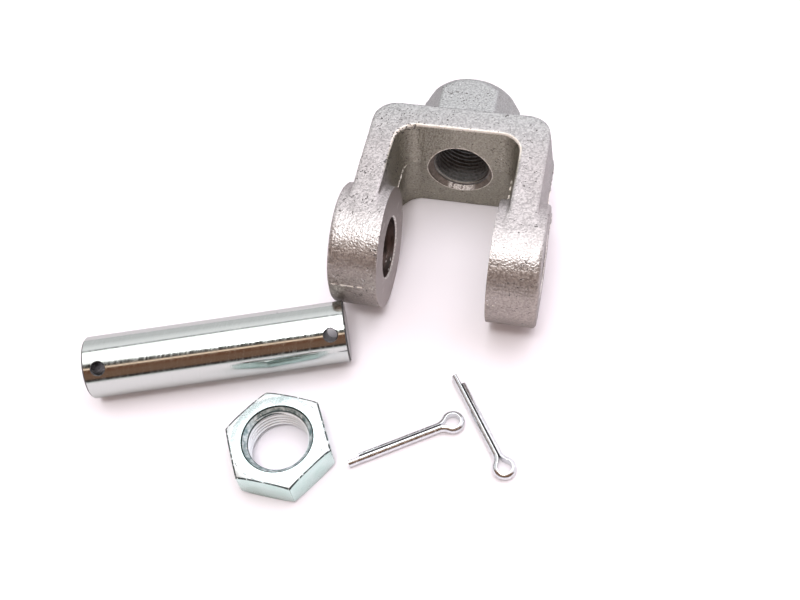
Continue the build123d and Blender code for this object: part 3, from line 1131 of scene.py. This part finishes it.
TO_BRIM = (THREAD_MOUTH_RADIUS - 0.00050, THREAD_MOUTH_RADIUS - 0.00030)
BY_NUT_THREAD = (THREAD_CREST_RADIUS + 0.0004, THREAD_CREST_RADIUS + 0.0002)
DARK_REFLECTION_GAPS = (0.0, 0.20)                # of a blotch's value
START_GAPS = (0.5, 0.9)                 # of a blotch's value


def zinc_finish(name, shaded, lit):
    """Bright zinc plate: soft cloudy tint, fine grain, small dents."""
    material, shader = metal(name)
    place = on_object(shader)
    clouds = blotches_on(place, size=0.0045)
    grain = blotches_on(place, size=0.0007)
    dents = effect_on(SPECKS, place, Size=0.0008, Share=-0.06)["Mask"]
    colour = mixed(ZINC_GRAIN_SHARE, mixed(clouds, shaded, lit), grain, "OVERLAY")
    colour = mixed(dents, colour, ZINC_DENT)
    coat(shader, colour, grain, smooth=0.18, rough=0.26)
    bumped(shader, minus(grain, dents), depth=0.000005)
    return material


def chamfered_finish():
    """Chamfers left dull and pale by the plating bath, with a painted dark reflection along their edges
    with the flats.
    """
    material, shader = metal("nut chamfer", metallic=0.55)
    blotches = blotches_on(on_object(shader), size=0.0014)
    dents = blotches_on(on_object(shader), size=0.0011)
    colour = mixed(blotches, CHAMFER_DARK, CHAMFER_PALE)
    reaches = []
    for flat in (0, pi / 3, -pi / 3):
        turn = flat - NUT_LAY
        shift = Matrix.Rotation(turn, 3, "Z") @ -Vector(NUT_MIDDLE)
        x, y, _ = axes_of(on_object(shader, turn=(0, 0, turn), shift=tuple(shift)))
        reaches.append(calculate("ABSOLUTE", y))
    # painted dark reflection where the chamfers meet the flats
    dark_reflection = times(fade(larger(*reaches), *TO_DARK_REFLECTION_EDGE), fade(dents, *DARK_REFLECTION_GAPS))
    colour = mixed(dark_reflection, colour, DARK_REFLECTION_EDGE)
    start = times(fade(off_axis(x, y), *TO_CHAMFER_START), fade(blotches, *START_GAPS))
    colour = mixed(start, colour, CHAMFER_START)
    coat(shader, colour, blotches, smooth=0.42, rough=0.62)
    return material


def countersunk_finish():
    """Countersinks around the nut's thread: grey-green, with torn crumbs, and dark at the brim and at the
    thread's edge as painted shade.
    """
    material, shader = metal("countersunk zinc", metallic=0.7)
    place = on_object(shader, shift=tuple(-Vector(NUT_MIDDLE)))
    x, y, _ = axes_of(place)
    radius = off_axis(x, y)
    blotches = blotches_on(place, size=0.0016)
    crumbs = effect_on(SPECKS, place, Size=0.0009, Share=0.06)["Mask"]
    colour = mixed(blotches, COUNTERSUNK_DARK, COUNTERSUNK_PALE)
    colour = mixed(crumbs, colour, COUNTERSUNK_CRUMB)
    rim_shade = larger(fade(radius, *TO_BRIM), fade(radius, *BY_NUT_THREAD))
    colour = mixed(rim_shade, colour, COUNTERSUNK_RIM_SHADE)
    coat(shader, colour, blotches, smooth=0.30, rough=0.50)
    return material


# lit and shaded copies of one zinc: the top paler as painted light, the side flats darker and greener as
# painted shade
LIT_NUT_ZINC = zinc_finish("lit nut zinc", shaded=(0.66, 0.77, 0.76, 1), lit=(0.74, 0.83, 0.83, 1))
SHADED_NUT_FLATS = zinc_finish("shaded nut flats", shaded=(0.53, 0.71, 0.66, 1), lit=(0.62, 0.77, 0.735, 1))
NUT_CHAMFERED = chamfered_finish()
NUT_EDGE_DARK_REFLECTION = blotchy_finish(          # the nut's rounded edges, near black as a painted dark reflection
    "nut edge dark reflection",
    dark=(0.01, 0.012, 0.012, 1),
    pale=(0.09, 0.10, 0.10, 1),
    size=0.0010,
    smooth=0.40,
    rough=0.60,
    metallic=0.8,
)
NUT_COUNTERSINK = countersunk_finish()
# painted highlight on the crests, painted shade in the roots
NUT_THREAD = tapped_finish(
    "nut thread",
    bright=(0.92, 0.97, 1.0, 1),
    dark=(0.05, 0.08, 0.08, 1),
    lit=(NUT_THICKNESS, 2 * NUT_THICKNESS),
    shift=tuple(-Vector(NUT_MIDDLE)),
    metallic=0.4,
)


def nut_blank():
    """Hexagon with a corner on X, trimmed by a cone at each face, its edges rounded."""
    corners = NUT_ACROSS_FLATS / sqrt(3)
    rim = corners + OVERSHOOT
    fall = (rim - NUT_FACE_RADIUS) * tan(NUT_CHAMFER)
    blank = turned("zinc_jam_nut", (corners, -OVERSHOOT), (corners, NUT_THICKNESS + OVERSHOOT), steps=6)
    placed(blank, turn=(0, 0, CORNER_TO_X))
    crown = [
        (NUT_FACE_RADIUS + (rim - NUT_FACE_RADIUS) * share, fall * share**NUT_CROWN)
        for share in (0, 0.2, 0.4, 0.6, 0.8, 1)
    ]
    above = [(radius, NUT_THICKNESS - height) for radius, height in reversed(crown)]
    sloping = lambda face: 0.01 < abs(face.normal.z) < 0.995      # neither upright nor level
    cones = redressed(dressed(turned("cones", *crown, *above), LIT_NUT_ZINC), NUT_CHAMFERED, sloping)
    combine(dressed(blank, SHADED_NUT_FLATS), "INTERSECT", cones)
    blank.data.materials.append(NUT_EDGE_DARK_REFLECTION)
    apply_modifier(
        blank,
        "BEVEL",
        width=NUT_EDGE_ROUND,
        segments=2,
        limit_method="ANGLE",
        angle_limit=radians(25),
        material=len(blank.data.materials) - 1,
    )
    return blank


nut = nut_blank()
thread = placed(tap("thread", NUT_THICKNESS + 2 * OVERSHOOT), (0, 0, -OVERSHOOT))
combine(nut, "DIFFERENCE", dressed(thread, NUT_THREAD))
for face, into in ((0, 1), (NUT_THICKNESS, -1)):
    lower, upper = sorted((face - into * OVERSHOOT, face + into * cone_depth))
    wide = THREAD_MOUTH_RADIUS + OVERSHOOT
    ends = (wide, cone_point) if into > 0 else (cone_point, wide)
    countersink = turned("countersink", (ends[0], lower), (ends[1], upper))
    combine(nut, "DIFFERENCE", dressed(countersink, NUT_COUNTERSINK))
placed(nut, NUT_MIDDLE, (0, 0, NUT_LAY))
smooth_shaded(nut, angle=28)
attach(nut, "root")
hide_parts("jam_nut")

# ========================================
# Cotter pins. Each is one piece of bright half-round steel wire, bent to
# a round eye, with its flats together and one leg longer than the other.
# ========================================
WIRE_RADIUS = 0.0015
WIRE_EDGE_ROUND = 0.00025
LEG_GAP = 0.00012
GAP_SHADE_DEPTH = 0.00030                    # how far from the middle the legs' inner edges are painted black, as shade in the gap between the legs
EYE_RADIUS = 0.0021                     # to the wire's flat
NECK_RADIUS = 0.0046
NECK_LEAD = 0.00094                     # how far down the legs the neck starts to open
LONG_LEG = 0.0293
SHORT_LEG = 0.0256
LEFT_NECK = (0.008317, -0.049789)
LEFT_LAY = radians(-147.1)              # of the legs, left of X
RIGHT_NECK = (0.026495, -0.056289)
RIGHT_LAY = radians(124.4)
COTTER_STEEL = blotchy_finish(          # drawn wire: bright, with a little soot in the bends
    "cotter steel",
    dark=(0.62, 0.645, 0.66, 1),
    pale=(0.76, 0.785, 0.80, 1),
    size=0.0012,
    smooth=0.14,
    rough=0.28,
    depth=0.000006,
)


def cotter_pin(name, neck, lay):
    """Half-round section drawn along leg, neck, eye, neck and leg, then laid on the table."""
    middle = LEG_GAP / 2 + NECK_RADIUS
    eye = sqrt((NECK_RADIUS + EYE_RADIUS) ** 2 - middle**2)
    neck_turn = atan2(eye, middle)
    bpy.ops.mesh.primitive_circle_add(vertices=40, radius=WIRE_RADIUS, fill_type="NGON")
    wire = placed(bpy.context.object, turn=(pi / 2, 0, pi / 2))
    wire.name = name
    open_piece(wire)
    bpy.ops.mesh.bisect(plane_co=(0, 0, 0), plane_no=(0, 1, 0), clear_inner=True)
    close_piece()
    at_edge = lambda m: abs(m.y) < SAME_PLACE and abs(m.z) > WIRE_RADIUS / 2
    bevel(wire, "VERT", at_edge, width=WIRE_EDGE_ROUND, segments=3)
    placed(wire, (LONG_LEG, LEG_GAP / 2, 0))
    open_piece(wire)
    bpy.ops.mesh.extrude_region_move(TRANSFORM_OT_translate={"value": (NECK_LEAD - LONG_LEG, 0, 0)})
    for steps, angle, centre in (
        (10, neck_turn, (NECK_LEAD, middle, 0)),
        (40, -pi - 2 * neck_turn, (NECK_LEAD - eye, 0, 0)),
        (10, neck_turn, (NECK_LEAD, -middle, 0)),
    ):
        bpy.ops.mesh.spin(steps=steps, angle=angle, center=centre, axis=(0, 0, 1))
    bpy.ops.mesh.extrude_region_move(TRANSFORM_OT_translate={"value": (SHORT_LEG - NECK_LEAD, 0, 0)})
    bpy.ops.mesh.select_all(action="SELECT")
    bpy.ops.mesh.remove_doubles(threshold=SAME_PLACE)
    close_solid()
    # painted shade in the gap between the legs
    in_gap_shade = lambda face: face.center.x > 0 and abs(face.center.y) < GAP_SHADE_DEPTH
    redressed(dressed(wire, COTTER_STEEL), SHADE_BLACK_METAL, in_gap_shade)
    placed(wire, (*neck, FLOOR + WIRE_RADIUS), (0, 0, lay))
    smooth_shaded(wire, angle=30)
    return wire


for name, node, neck, lay in (
    ("steel_cotter_left", "cotter_pin_left", LEFT_NECK, LEFT_LAY),
    ("steel_cotter_right", "cotter_pin_right", RIGHT_NECK, RIGHT_LAY),
):
    cotter = cotter_pin(name, neck, lay)
    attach(cotter, "root")
    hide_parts(node)
